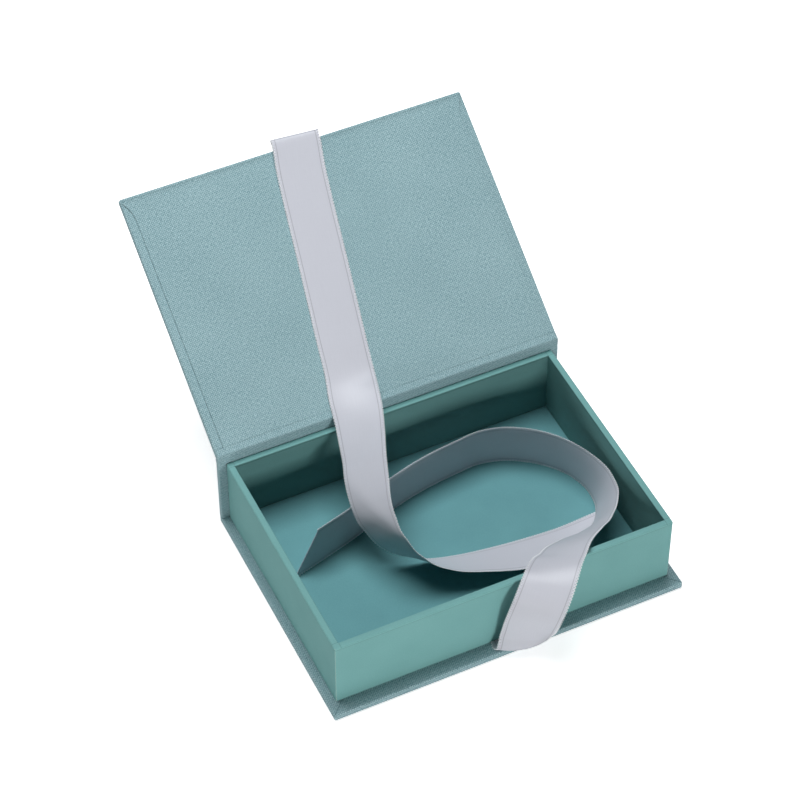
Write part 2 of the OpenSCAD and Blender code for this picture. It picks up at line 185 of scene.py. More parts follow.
# %% [markdown]
# ## Finishes
# Each finish is a small graph of nodes on the surface's own map. The helper below keeps the graphs
# short: it adds a node, sets its plain values and links its inputs.

# %% Material tools
class Graph:
    """Builds one material's nodes."""

    def __init__(self, name, color, roughness):
        self.material = bpy.data.materials.new(name)
        self.material.use_nodes = True
        self.tree = self.material.node_tree
        self.shader = self.tree.nodes["Principled BSDF"]
        self.shader.inputs["Base Color"].default_value = (*color, 1)
        self.shader.inputs["Roughness"].default_value = roughness

    def add(self, kind, links=None, **values):
        node = self.tree.nodes.new(kind)
        for key, value in values.items():
            setattr(node, key, value)
        for key, value in (links or {}).items():
            socket = node.inputs[key]
            if isinstance(value, bpy.types.NodeSocket):
                self.tree.links.new(value, socket)
            else:
                socket.default_value = value
        return node

    def math(self, operation, a, b=0.0, c=0.0):
        return self.add("ShaderNodeMath", {0: a, 1: b, 2: c}, operation=operation).outputs[0]

    def map(self):
        return self.add("ShaderNodeUVMap", uv_map="cloth").outputs["UV"]

    def place(self):
        return self.add("ShaderNodeTexCoord").outputs["Object"]

    def noise(self, where, scale, size, detail=2.0, rough=0.5):
        """Noise on the map, stretched by scale along each axis; size is in cells per millimetre."""
        spread = self.add("ShaderNodeMapping", {"Vector": where, "Scale": scale}).outputs[0]
        return self.add("ShaderNodeTexNoise", {"Vector": spread, "Scale": size, "Detail": detail,
                                               "Roughness": rough}).outputs["Fac"]

    def spread(self, value, low, high):
        """Draws the values from low to high out to the whole range from 0 to 1."""
        return self.add("ShaderNodeMapRange", {"Value": value, "From Min": low,
                                               "From Max": high}).outputs[0]

    def blend(self, factor, low, high):
        """A colour between low and high."""
        mix = self.add("ShaderNodeMix", {"Factor": factor}, data_type="RGBA")
        mix.inputs["A"].default_value = (*low, 1)
        mix.inputs["B"].default_value = (*high, 1)
        return mix.outputs["Result"]

    def shade(self, color, amount):
        """Multiplies a colour by a grey amount."""
        grey = self.add("ShaderNodeCombineColor", {0: amount, 1: amount, 2: amount}).outputs[0]
        mix = self.add("ShaderNodeMix", {"Factor": 1.0}, data_type="RGBA", blend_type="MULTIPLY")
        self.tree.links.new(color, mix.inputs["A"])
        self.tree.links.new(grey, mix.inputs["B"])
        return mix.outputs["Result"]

    def bump(self, height, distance):
        return self.add("ShaderNodeBump", {"Height": height, "Distance": distance,
                                           "Strength": 1.0}).outputs["Normal"]

    def finish(self, color, normal):
        self.tree.links.new(color, self.shader.inputs["Base Color"])
        self.tree.links.new(normal, self.shader.inputs["Normal"])
        return self.material

def srgb(r, g, b):
    """A colour as it shows on a screen, 0 to 255, turned into the light that it reflects."""
    return tuple((v / 255 / 12.92) if v / 255 <= 0.04045 else ((v / 255 + 0.055) / 1.055) ** 2.4
                 for v in (r, g, b))

# %% [markdown]
# ### Book cloth
# The case is covered in a plain-weave cotton book cloth: threads about half a millimetre apart that
# pass over and under each other, with thick and thin places along each thread. Two sine waves give
# the over and under, and two noises, each stretched along one thread direction, give the slubs.

# %% Book cloth
def book_cloth(name, deep, light, pitch=0.62):
    g = Graph(name, light, 0.86)
    where = g.map()
    parts = g.add("ShaderNodeSeparateXYZ", {0: where})
    u, v = parts.outputs[0], parts.outputs[1]
    wave_u = g.math("SINE", g.math("MULTIPLY", u, math.pi / pitch))
    wave_v = g.math("SINE", g.math("MULTIPLY", v, math.pi / pitch))
    weave = g.math("MULTIPLY_ADD", g.math("MULTIPLY", wave_u, wave_v), 0.5, 0.5)
    warp = g.noise(where, (2.8, 0.8, 1), 1.0, 2.0)
    weft = g.noise(where, (0.8, 2.8, 1), 1.0, 2.0)
    fleck = g.noise(where, (1.0, 1.0, 1), 1.9, 3.0, 0.7)
    cloud = g.noise(where, (1.0, 1.0, 1), 0.03, 2.0)
    # The weave's crossings are also painted into the tone, lighter on the crowns and darker in the
    # pits between: painted highlight and painted shade. The slubs, flecks and cloud are the cloth's
    # own tone.
    tone = g.math("MULTIPLY_ADD", weave, 0.6, 0.0)
    tone = g.math("MULTIPLY_ADD", warp, 1.0, tone)
    tone = g.math("MULTIPLY_ADD", weft, 1.0, tone)
    tone = g.math("MULTIPLY_ADD", fleck, 0.35, tone)
    tone = g.math("MULTIPLY_ADD", cloud, 0.15, tone)
    color = g.blend(g.spread(tone, 1.18, 1.92), deep, light)
    height = g.math("MULTIPLY_ADD", warp, 0.8, g.math("MULTIPLY_ADD", weft, 0.8, weave))
    g.shader.inputs["Sheen Weight"].default_value = 0.12
    g.shader.inputs["Sheen Roughness"].default_value = 0.5
    g.shader.inputs["Specular IOR Level"].default_value = 0.25
    return g.finish(color, g.bump(height, 0.00007))

case_cloth = book_cloth("book_cloth", srgb(100, 136, 144), srgb(178, 207, 211))
print("finish:", case_cloth.name)

# %% [markdown]
# ### Tray paper
# The tray is wrapped in a smooth dyed paper. It has hardly any texture: a fine fibre in the sheet
# and a slow change of tone where the paste has drawn it down. On the walls the sheets overlap in
# fine dark lines, below the rim and across it at the corners. A thin band just below the rim's
# edges carries a painted highlight, and the walls' inner faces carry painted shade.

# %% Tray paper
WALL = (tray_high[0] - tray_low[0] - (floor_high[0] - floor_low[0])) / 2
TOP = tray_high[2]
FLOOR = floor_high[2]
LINE = 0.13  # half the width of a line where sheets overlap

def tray_paper(name, deep, light, wall=False):
    g = Graph(name, light, 0.7)
    where = g.map()
    fibre = g.noise(where, (1.0, 1.0, 1), 1.6, 3.0, 0.65)
    cloud = g.noise(where, (1.0, 1.0, 1), 0.05, 2.0)
    tone = g.math("MULTIPLY_ADD", cloud, 0.5, g.math("MULTIPLY", fibre, 0.8))
    color = g.blend(g.spread(tone, 0.35, 0.95), deep, light)
    if wall:
        parts = g.add("ShaderNodeSeparateXYZ", {0: g.place()})
        x, y, z = [g.math("MULTIPLY", parts.outputs[k], 1 / MM) for k in range(3)]
        spans = ((tray_low[0], tray_high[0], x), (tray_low[1], tray_high[1], y))
        seam = g.math("COMPARE", z, TOP - 1.25, LINE)
        on_rim = g.math("GREATER_THAN", z, TOP - 0.9)
        for low, high, along in spans:
            for edge in (low + WALL + 0.1, high - WALL - 0.1):
                line = g.math("COMPARE", along, edge, LINE)
                seam = g.math("MAXIMUM", seam, g.math("MULTIPLY", line, on_rim))
        # A thin band just below the rim's edges is painted 10 percent paler: a painted highlight on
        # the rounded edge.
        painted_rim_highlight = g.math("COMPARE", z, TOP - 0.75, 0.34)
        level = g.math("MULTIPLY_ADD", seam, -0.3, 1.0)
        level = g.math("MULTIPLY_ADD", painted_rim_highlight, 0.1, level)
        # The walls' inner faces below the rim are painted 36 percent darker: painted shade of the
        # tray's inside.
        painted_inner_shade = g.math("LESS_THAN", z, TOP - 0.3)
        for low, high, along in spans:
            near = g.math("COMPARE", along, (low + high) / 2, (high - low) / 2 - WALL + 0.1)
            painted_inner_shade = g.math("MULTIPLY", painted_inner_shade, near)
        color = g.shade(color, g.math("MULTIPLY_ADD", painted_inner_shade, -0.36, level))
    g.shader.inputs["Specular IOR Level"].default_value = 0.12
    return g.finish(color, g.bump(fibre, 0.00002))

wall_paper = tray_paper("tray_wall_paper", srgb(116, 167, 165), srgb(129, 181, 178), wall=True)
# The floor's copy of the paper is written darker and bluer than the walls': painted shade and bluer
# light on the tray's floor.
floor_paper = tray_paper("tray_floor_paper", srgb(101, 154, 159), srgb(113, 169, 173))
print("finishes:", wall_paper.name, floor_paper.name)

# %% [markdown]
# ### Satin ribbon
# Satin has long floats of thread along its length, so it is smooth one way and faintly ribbed the
# other, and its shine spreads across the ribbon. Near each edge runs a tighter woven band.

# %% Satin
RIBBON_W, RIBBON_T = 23.5, 0.3
LOOP_PITCH = 1.4

def satin(name, color, half_width):
    g = Graph(name, color, 0.42)
    where = g.map()
    parts = g.add("ShaderNodeSeparateXYZ", {0: where})
    u, v = parts.outputs[0], parts.outputs[1]
    floats = g.noise(where, (3.2, 0.12, 1), 1.0, 2.0)
    ribs = g.noise(where, (0.10, 2.6, 1), 1.0, 2.0)
    side = g.math("ABSOLUTE", u)
    band = g.math("GREATER_THAN", side, half_width - 1.5)
    groove = g.math("COMPARE", side, half_width - 1.4, 0.2)
    stitches = g.math("SINE", g.math("MULTIPLY", v, 2 * math.pi / 0.7))
    edge = g.math("GREATER_THAN", side, half_width - 0.6)
    dots = g.math("SINE", g.math("MULTIPLY", v, 2 * math.pi / LOOP_PITCH))
    tone = g.math("MULTIPLY_ADD", floats, 0.07, 0.93)
    tone = g.math("MULTIPLY_ADD", ribs, 0.04, tone)
    # The groove inside each edge band is painted 26 percent darker: painted shade in the groove.
    tone = g.math("MULTIPLY_ADD", groove, -0.26, tone)
    tone = g.math("MULTIPLY_ADD", g.math("MULTIPLY", edge, dots), 0.14, tone)
    tone = g.math("MULTIPLY_ADD", g.math("MULTIPLY", band, stitches), 0.06, tone)
    base = g.add("ShaderNodeRGB")
    base.outputs[0].default_value = (*color, 1)
    height = g.math("MULTIPLY_ADD", g.math("MULTIPLY", band, stitches), 0.5,
                    g.math("MULTIPLY_ADD", ribs, 0.6, g.math("MULTIPLY", floats, 0.6)))
    height = g.math("MULTIPLY_ADD", groove, -1.0, height)
    g.shader.inputs["Anisotropic"].default_value = 0.5
    g.shader.inputs["Specular IOR Level"].default_value = 0.45
    g.shader.inputs["Sheen Weight"].default_value = 0.15
    g.shader.inputs["Sheen Roughness"].default_value = 0.4
    return g.finish(g.shade(base.outputs[0], tone), g.bump(height, 0.00003))

ribbon_satin = satin("ribbon_satin", srgb(205, 206, 214), RIBBON_W / 2)
print("finish:", ribbon_satin.name)

# %% [markdown]
# ### Board and tape
# The grey boards, the card and the paper tape at the tray's corners are covered, and show only when
# the box is taken apart in the model. They still get a plain fibrous finish.

# %% Board and tape
def fibre_board(name, deep, light, size):
    g = Graph(name, light, 0.9)
    where = g.place()
    grain = g.noise(where, (1000.0, 1000.0, 1000.0), size, 4.0, 0.7)
    return g.finish(g.blend(grain, deep, light), g.bump(grain, 0.00005))

grey_board = fibre_board("grey_board", srgb(150, 140, 122), srgb(190, 178, 158), 0.8)
gum_tape = fibre_board("gum_tape", srgb(214, 205, 184), srgb(236, 229, 212), 1.5)
boards = ("base_board", "spine_board", "lid_board", "lid_lining_card", "tray_floor_board",
          "tray_front_board", "tray_back_board", "tray_left_board", "tray_right_board")
for node in (*boards, "corner_tapes"):
    mesh = frame["nodes"][node].data
    mesh.materials.clear()
    mesh.materials.append(grey_board if node in boards else gum_tape)
print("covered boards:", len(boards))

# %% [markdown]
# ## The wrapped boards
# The base and the lid are boards with the cloth drawn over their edges and turned in on one face.
# The cloth rounds every edge, and at each corner the two turn-ins meet on a mitre, which shows as a
# fine groove. The board is a stack of rounded rectangles, and the middle point of each corner is
# lowered where the mitre runs.

# %% Wrapped boards
def wrapped_board(name, w, y0, y1, z0, t, edge=0.75, corner=0.9, turn_in=15.0, mitre=0.2):
    """A board of width w from y0 to y1, t thick from z0 up, wrapped with rounded edges."""
    def ring(inset, z, groove=0.0):
        r = max(corner - inset, 0.4)
        points = rounded_ring(-w / 2 + inset, w / 2 - inset, y0 + inset, y1 - inset, r, z)
        for c in range(4):
            middle = c * (CORNER_STEPS + 1) + CORNER_STEPS // 2
            for step, drop in ((0, 1.0), (-1, 0.25), (1, -0.35)):
                x, y, zz = points[middle + step]
                points[middle + step] = (x, y, zz - groove * drop)
        return points
    rings = [ring(edge + 0.6, z0), ring(edge, z0)]
    arc = [math.radians(18 * k) for k in range(1, 5)]
    rings += [ring(edge * (1 - math.sin(a)), z0 + edge * (1 - math.cos(a))) for a in arc]
    rings += [ring(0, z0 + edge), ring(0, z0 + t - edge)]
    rings += [ring(edge * (1 - math.cos(a)), z0 + t - edge * (1 - math.sin(a)),
                   mitre * math.sin(a)) for a in arc]
    steps = [edge, edge + 0.6] + [i for i in (3, 6, 10) if i < turn_in] + [turn_in]
    rings += [ring(inset, z0 + t, mitre) for inset in steps]
    return loft(name, rings)

base_cloth = wrapped_board("case_base", CASE_W, -CASE_Y, CASE_Y, 0, CASE_T, mitre=0.4)
body_piece(base_cloth, case_cloth, "base", "case_cloth", "base_cloth")

lid_cloth = wrapped_board("case_lid", CASE_W, LID_BACK, LID_END, OUTER_H, FACE_H - OUTER_H)
body_piece(lid_cloth, case_cloth, "lid", "case_cloth", "lid_cloth")

spine_cloth = wrapped_board("case_spine", CASE_W, spine_low[1], spine_high[1], spine_low[2] + 0.02,
                            spine_high[2] - spine_low[2] - 0.02, edge=0.5, corner=0.6,
                            turn_in=1.3, mitre=0.0)
body_piece(spine_cloth, case_cloth, "base", "case_cloth", "spine_cloth")

# %% [markdown]
# ## The cloth hinge
# Between the top of the spine and the lid there is only cloth: it bows out a little behind, and
# inside it is turned on to the lid. One closed section is drawn in the side view and run along the
# hinge, tucked in at both ends.

# %% Cloth hinge
def lid_side(s, h):
    return on_lid(0, s, h)[1:]

def catmull(points, steps, closed=False):
    """A smooth curve through points, steps to a span."""
    p = np.array(points, float)
    n = len(p)
    spans = n if closed else n - 1
    out = []
    for i in range(spans):
        a, b, c, d = [p[(i + o) % n] if closed else p[min(max(i + o, 0), n - 1)]
                      for o in (-1, 0, 1, 2)]
        for k in range(steps):
            t = k / steps
            out.append(0.5 * (2 * b + (c - a) * t + (2 * a - 5 * b + 4 * c - d) * t * t
                              + (3 * b - a - 3 * c + d) * t ** 3))
    if not closed:
        out.append(p[-1])
    return np.array(out)

spine_top = spine_high[2]
back, inner = spine_high[1], spine_low[1]
MARGIN, TURN = 4.5, 0.2  # how far the lining stays inside the lid's sides, and its cloth
side = CASE_W / 2 - MARGIN + TURN

def hinge_section(high):
    """The closed section across the hinge, at height high where it ends on the lid."""
    section = [(back - 0.05, spine_top - 0.8), (back + 0.05, spine_top + 0.1),
               (back + 0.75, spine_top + 0.9), (back + 0.7, spine_top + 1.8),
               lid_side(LID_BACK - 0.12, OUTER_H + 0.6), lid_side(LID_BACK - 0.1, OUTER_H + 1.6),
               lid_side(LID_BACK - 0.12, FACE_H - 0.5), lid_side(LID_BACK + 0.3, FACE_H + 0.05),
               lid_side(1.6, FACE_H + 0.04), lid_side(3.3, FACE_H + 0.04),
               lid_side(3.4, high - 0.04), lid_side(2.6, high), lid_side(1.5, high),
               lid_side(LID_BACK + 0.2, high), (inner + 0.05, HINGE[2] - 1.6),
               (inner + 0.15, spine_top + 0.3), (inner + 0.2, spine_top - 0.8)]
    return catmull(section, 4, closed=True)

low, high = FACE_H + 0.42, LINING_H + 0.02
rings = []
# Each station is a place along the hinge, how far the section is drawn in there to round the
# cloth's end, and its height: low at the lid's bare margins, high where it meets the lining.
stations = [(-CASE_W / 2 + 0.05, 0.55, low), (-CASE_W / 2 + 0.1, 0.2, low),
            (-CASE_W / 2 + 0.4, 0.06, low), (-CASE_W / 2 + 1.0, 0.0, low),
            (-side - 0.1, 0.0, low), (-side + 0.05, 0.0, high)]
stations += [(x, 0.0, high) for x in np.linspace(-CASE_W / 2 + 6, CASE_W / 2 - 6, 29)]
stations += [(-x, tuck, top) for x, tuck, top in reversed(stations[:6])]
for x, tuck, top in stations:
    outline = hinge_section(top)
    middle = outline.mean(axis=0)
    ripple = 0.07 * math.sin(x * 0.11) + 0.05 * math.sin(x * 0.31 + 1)
    bow = np.clip((outline[:, 0] - back) / 0.7, 0, 1) * ripple
    ring = outline + (middle - outline) * tuck
    rings.append([(x, y + b, z) for (y, z), b in zip(ring, bow)])
hinge_cloth = loft("case_hinge", rings, sharp=60)
box_map(hinge_cloth)
to_metres(hinge_cloth)
hinge_cloth.data.materials.append(case_cloth)
end = Vector((0, *lid_side(LID_BACK, OUTER_H + 0.8))) * MM
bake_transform(hinge_cloth)
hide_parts("hinge_cloth_outer", "hinge_cloth_inner")
print("hinge cloth", len(hinge_cloth.data.polygons), "faces")

# %% [markdown]
# ## The lid's lining
# Inside the lid lies a card covered in the same cloth, a little smaller than the lid. Its edge
# shows as a thin line along the lid's border, and at the fore edge the line swings out to the
# corners. The lining is a shell over the card. Its rim stops just short of the lid, which leaves
# the fine dark line, and it stands higher where the ribbon's end goes in under it.

# %% Lining
FORE_MARGIN = 2.0
lining_low, lining_high = 3.5, LID_END - FORE_MARGIN
RIBBON_X = 2.0
right = [(side, lining_low), (side, 60), (side, LID_END - 11.5), (side + 0.35, LID_END - 9.2),
         (side + 1.0, LID_END - 7.2), (side + 2.0, LID_END - 4.9), (side + 3.0, LID_END - 3.1),
         (side + 3.7, lining_high)]
fore = [(x, lining_high) for x in np.linspace(CASE_W / 2 - 2.2, -CASE_W / 2 + 2.2, 120)]
border = right[:-1] + [(side + 3.6, lining_high)] + fore[1:-1] + [(-side - 3.6, lining_high)] \
    + [(-x, s) for x, s in reversed(right[:-1])]
border = np.array(border)
heel = np.array([(x, lining_low) for x in np.linspace(-side, side, 40)][1:-1])
border = np.vstack([border, heel])

def shrink(ring, by):
    """Moves a closed outline inward by a distance."""
    ahead, behind = np.roll(ring, -1, axis=0), np.roll(ring, 1, axis=0)
    d1 = ring - behind
    d2 = ahead - ring
    d1 /= np.linalg.norm(d1, axis=1)[:, None]
    d2 /= np.linalg.norm(d2, axis=1)[:, None]
    n1 = np.stack([-d1[:, 1], d1[:, 0]], 1)
    n2 = np.stack([-d2[:, 1], d2[:, 0]], 1)
    n = n1 + n2
    n /= np.maximum(np.linalg.norm(n, axis=1), 1e-6)[:, None]
    grow = 1 / np.maximum((n * n1).sum(1), 0.5)
    return ring + n * (by * grow)[:, None]

def lining_ring(inset, h, over_ribbon=None):
    ring = []
    for (x, s), (x0, s0) in zip(shrink(border, inset), border):
        gate = over_ribbon is not None and s0 > lining_high - 0.1 \
            and abs(x0 - RIBBON_X) < RIBBON_W / 2 + 0.6
        ring.append((x, s, over_ribbon if gate else h))
    return ring

rim_low, rim_back = FACE_H + 0.28, LINING_H - 0.24
lining_rings = [lining_ring(1.2, rim_back), lining_ring(1.0, rim_back),
                lining_ring(0.98, rim_low, rim_back), lining_ring(0.0, rim_low, rim_back),
                lining_ring(0.0, LINING_H - 0.12, LINING_H - 0.12),
                lining_ring(0.05, LINING_H - 0.03), lining_ring(0.15, LINING_H),
                lining_ring(0.8, LINING_H)]
lid_lining = loft("lid_lining", lining_rings, sharp=50)
body_piece(lid_lining, case_cloth, "lid", "lining_cloth", "lid_lining_cloth")

# %% [markdown]
# ## The tray
# The tray's walls are boards wrapped in paper, outside, over the top and down the inside. One loft
# runs up the outside, over the rim and down to the floor, with tight folds at the edges. The paper
# stands a hair proud just below the outer edge of the rim, where it is folded over.

# %% Tray walls
profile = [(0.0, tray_low[2] + 0.02), (0.0, tray_low[2] + 0.5), (0.0, TOP - 2.0),
           (-0.03, TOP - 1.3), (-0.05, TOP - 0.9), (0.0, TOP - 0.55), (0.12, TOP - 0.22),
           (0.32, TOP - 0.04), (0.6, TOP), (1.0, TOP), (WALL - 0.9, TOP),
           (WALL - 0.45, TOP - 0.02), (WALL - 0.2, TOP - 0.14), (WALL - 0.04, TOP - 0.4),
           (WALL, TOP - 0.9), (WALL, TOP - 1.6), (WALL, FLOOR + 0.6), (WALL, FLOOR + 0.02)]
rings = [rounded_ring(tray_low[0] + d, tray_high[0] - d, tray_low[1] + d, tray_high[1] - d,
                      max(0.75 - 0.75 * d / WALL, 0.15) if d < WALL - 0.5 else 0.15, z)
         for d, z in profile]
tray_walls = loft("tray_walls", rings, capped=False, sharp=50)
body_piece(tray_walls, wall_paper, "base", "tray_paper", "tray_wrap_paper", "tray_wall_lining")

# %% [markdown]
# The floor is lined with the same paper, written darker and bluer than on the walls: painted shade
# and bluer light of the tray's floor. It is laid as a fine grid, so that it can carry a faint wave,
# as a pasted sheet does.

# %% Tray floor
def level_grid(name, x0, x1, y0, y1, z, nx, ny, lift):
    """A level sheet of nx by ny squares, 0.28 mm thick, with lift added to its upper face."""
    points = [(x, y, z + lift(x, y)) for y in np.linspace(y0, y1, ny + 1)
              for x in np.linspace(x0, x1, nx + 1)]
    faces = [(j * (nx + 1) + i, j * (nx + 1) + i + 1, (j + 1) * (nx + 1) + i + 1,
              (j + 1) * (nx + 1) + i) for j in range(ny) for i in range(nx)]
    n = len(points)
    points += [(x, y, z - 0.28) for x, y in ((x0, y0), (x1, y0), (x1, y1), (x0, y1))]
    faces.append((n + 3, n + 2, n + 1, n))
    rims = (range(nx + 1), [j * (nx + 1) + nx for j in range(ny + 1)],
            [ny * (nx + 1) + nx - i for i in range(nx + 1)],
            [(ny - j) * (nx + 1) for j in range(ny + 1)])
    for k, rim in enumerate(rims):
        faces.append((n + k, n + (k + 1) % 4, *reversed(rim)))
    return make_piece(name, points, faces)

def floor_lift(x, y):
    wave = 0.03 * math.sin(x * 0.07 + 1) * math.sin(y * 0.09)
    return -0.05 + wave

tray_floor = level_grid("tray_floor", floor_low[0] + 0.02, floor_high[0] - 0.02,
                        floor_low[1] + 0.02, floor_high[1] - 0.02, FLOOR, 42, 30, floor_lift)
body_piece(tray_floor, floor_paper, "base", "tray_paper", "tray_floor_lining")

# %% [markdown]
# ## The ribbons
# Both ribbons are satin tape with slanted ends. A ribbon is too stiff across its width to hang like
# cloth: it curls and turns over, but it never stretches. So each is given as the route of its two
# edges, in rounded numbers that follow the ribbon in the picture, and the true width is then laid
# out square from the line midway between them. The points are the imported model's own.

# %% Routes of the ribbons
CARD_END = LID_END - FORE_MARGIN
HOLD = 20.0  # how much of each ribbon is held, under the lining or under the tray
IN, ON = FACE_H + RIBBON_T / 2 + 0.07, LINING_H + RIBBON_T / 2 + 0.25
X0, X1 = RIBBON_X - RIBBON_W / 2, RIBBON_X + RIBBON_W / 2
lid_left = [on_lid(*p) for p in (
    (X0, CARD_END - HOLD, IN), (X0, CARD_END - 8, IN), (X0, CARD_END, IN),
    (X0 + 0.2, LID_END + 2.6, IN), (X0 + 0.4, LID_END + 4.6, IN + 0.7),
    (X0 + 0.4, LID_END + 4.6, IN + 2), (X0, LID_END + 2.6, ON + 1.7),
    (-10.4, LID_END - 2, ON + 1.5), (-12.5, 119, ON + 0.7), (-15.5, 99, ON + 0.1),
    (-18.5, 78, ON), (-21.5, 57, ON), (-24.5, 36, ON), (-26.8, 19, ON + 0.2))] + [
    (-28.5, 69.5, 53), (-30.5, 60, 47.5), (-33, 51, 43), (-35.5, 41, 39.5), (-37.5, 36, 38),
    (-39, 30.5, 36), (-40, 25, 33.5), (-40.5, 20, 30.5), (-40, 15, 27), (-38, 10.5, 23.5),
    (-35.5, 6.5, 19.5), (-32, 3, 16.5), (-27.5, 0.5, 13.5), (-22.5, -1.5, 11), (-17, -3.5, 9),
    (-11.5, -5, 7.5), (-2.5, -7, 6.5), (9, -9, 6), (24.5, -11, 6), (38.5, -12.3, 6), (50, -13, 6),
    (58.5, -13, 6), (66, -12.5, 6), (73.5, -12, 6)]
lid_right = [on_lid(*p) for p in (
    (X1, CARD_END - HOLD, IN), (X1, CARD_END - 8, IN), (X1, CARD_END, IN),
    (X1 - 0.2, LID_END + 1.2, IN), (X1 - 0.4, LID_END + 3, IN + 0.7),
    (X1 - 0.4, LID_END + 3, IN + 2), (X1 - 0.7, LID_END + 1.2, ON + 1.7),
    (12.2, LID_END - 4, ON + 1.5), (10, 115.5, ON + 0.7), (7.4, 95.5, ON + 0.1),
    (4.8, 74.5, ON), (1.8, 53.5, ON), (-1.2, 32.5, ON), (-3.6, 15.5, ON + 0.1))] + [
    (-7.5, 64, 56), (-10.5, 52.5, 55.5), (-14, 42, 54), (-18.5, 31.5, 52.5), (-20.5, 26, 51),
    (-22.5, 20.5, 49.5), (-24.5, 15, 48), (-26.5, 9.5, 46.5), (-28, 4, 44), (-28.5, -1, 41.5),
    (-28.5, -6, 38), (-27, -10.5, 34.5), (-25, -15, 31), (-21.5, -18.5, 27.5), (-17.5, -21.5, 24),
    (-12.5, -24, 21.5), (-5, -26.5, 18.5), (6.5, -29.5, 16), (21, -33, 13.5), (37, -35, 12),
    (48.5, -36, 10.5), (58.5, -36, 8.5), (66, -35.8, 7.2), (73.5, -35.5, 6.5)]

BASE_Z = CASE_T + RIBBON_T / 2 + 0.1
BASE_X = 5.0
TRAY_Y = tray_low[1]
base_lower = [
    (BASE_X - RIBBON_W / 2, TRAY_Y + 2.8 + HOLD, BASE_Z),
    (BASE_X - RIBBON_W / 2, TRAY_Y + 8, BASE_Z),
    (BASE_X - RIBBON_W / 2, TRAY_Y + 1, BASE_Z), (-8.5, -62.3, BASE_Z + 0.1), (-8.9, -64, 5.4),
    (-7.7, -63.6, 8), (-5.6, -63, 12), (-4, -64, 18), (-3, -65, 24.5), (-1.5, -65.5, 31.5),
    (1, -65, 37.5), (4.5, -62.8, 42), (9, -58.7, 44), (13.5, -54, 43.2), (18.5, -49.5, 41),
    (23, -46, 37.5), (28, -42, 34.5), (32.5, -39, 31.5), (37.5, -36.5, 28.5),
    (42.5, -33.5, 25), (47, -31.5, 21.5), (52, -29, 18), (57.5, -26.5, 14.5),
    (62.5, -23.5, 11.5), (67, -19.5, 9.5), (71, -14.5, 7.5), (74, -9, 6.5), (75.5, -2.5, 6),
    (75.5, 4, 6), (74, 10, 6), (71.5, 16, 6), (66.5, 23, 6), (58.5, 30.5, 6), (47.5, 37, 6),
    (35, 40, 6), (22, 39, 6), (9.5, 37.5, 6), (-3, 35, 6), (-15.5, 31.5, 6), (-27.5, 27.5, 6),
    (-40, 23, 6), (-52, 19.5, 6), (-64.5, 16, 6), (-74, 13.5, 6)]
base_upper = [
    (BASE_X + RIBBON_W / 2, TRAY_Y + 2.8 + HOLD, BASE_Z),
    (BASE_X + RIBBON_W / 2, TRAY_Y + 8, BASE_Z),
    (BASE_X + RIBBON_W / 2, TRAY_Y + 0.5, BASE_Z), (16, -65.5, BASE_Z + 0.1), (17, -69.5, 4.9),
    (17.2, -70.8, 6.5), (17, -72, 9.5), (16.5, -74.5, 14.5), (16, -77, 20), (16.5, -79, 26),
    (18, -79.5, 32), (21, -78, 37.5), (25, -75, 42), (29.5, -70.5, 45), (34, -65.5, 46.5),
    (39, -61, 46.5), (43.5, -56, 45.5), (48, -52, 44), (53, -48, 41.5), (57.5, -44.5, 39),
    (62.5, -41, 36.5), (67, -36.5, 34.5), (71, -32, 32.5), (75, -26.5, 31), (78, -21, 30),
    (79.5, -14.5, 29.5), (80, -8, 29.5), (79, -2, 29.5), (77, 4.5, 29.5), (74.5, 10.5, 29.5),
    (71.5, 16, 29.5), (66.5, 23, 29.5), (58.5, 30.5, 29.5), (47.5, 37, 29.5), (35, 40, 29.5),
    (22, 39, 29.5), (9.5, 37.5, 29.5), (-3, 35, 29.5), (-15.5, 31.5, 29.5), (-27.5, 27.5, 29.5),
    (-40, 23, 29.5), (-52, 19.5, 29.5), (-64.5, 16, 29.5), (-74, 13.5, 29.5)]
# Where the base's ribbon turns up from under the tray it is bowed across its width, and its middle
# line is drawn too, from the fourth point on. Everywhere else the middle lies midway.
base_curl = [(4, -65.5, BASE_Z + 0.1), (3.5, -69.5, 4.6), (4.5, -70, 7), (5.7, -69.5, 10.5),
             (6.3, -70.2, 16.2)]
print("route points:", len(lid_left), len(base_lower))

# %% [markdown]
# The strip below is measured along the middle line, so a point of the ribbon is named by how far
# along, how far across and how far above the middle of its thickness it lies. The slanted end is
# cut by letting each thread stop at its own length.

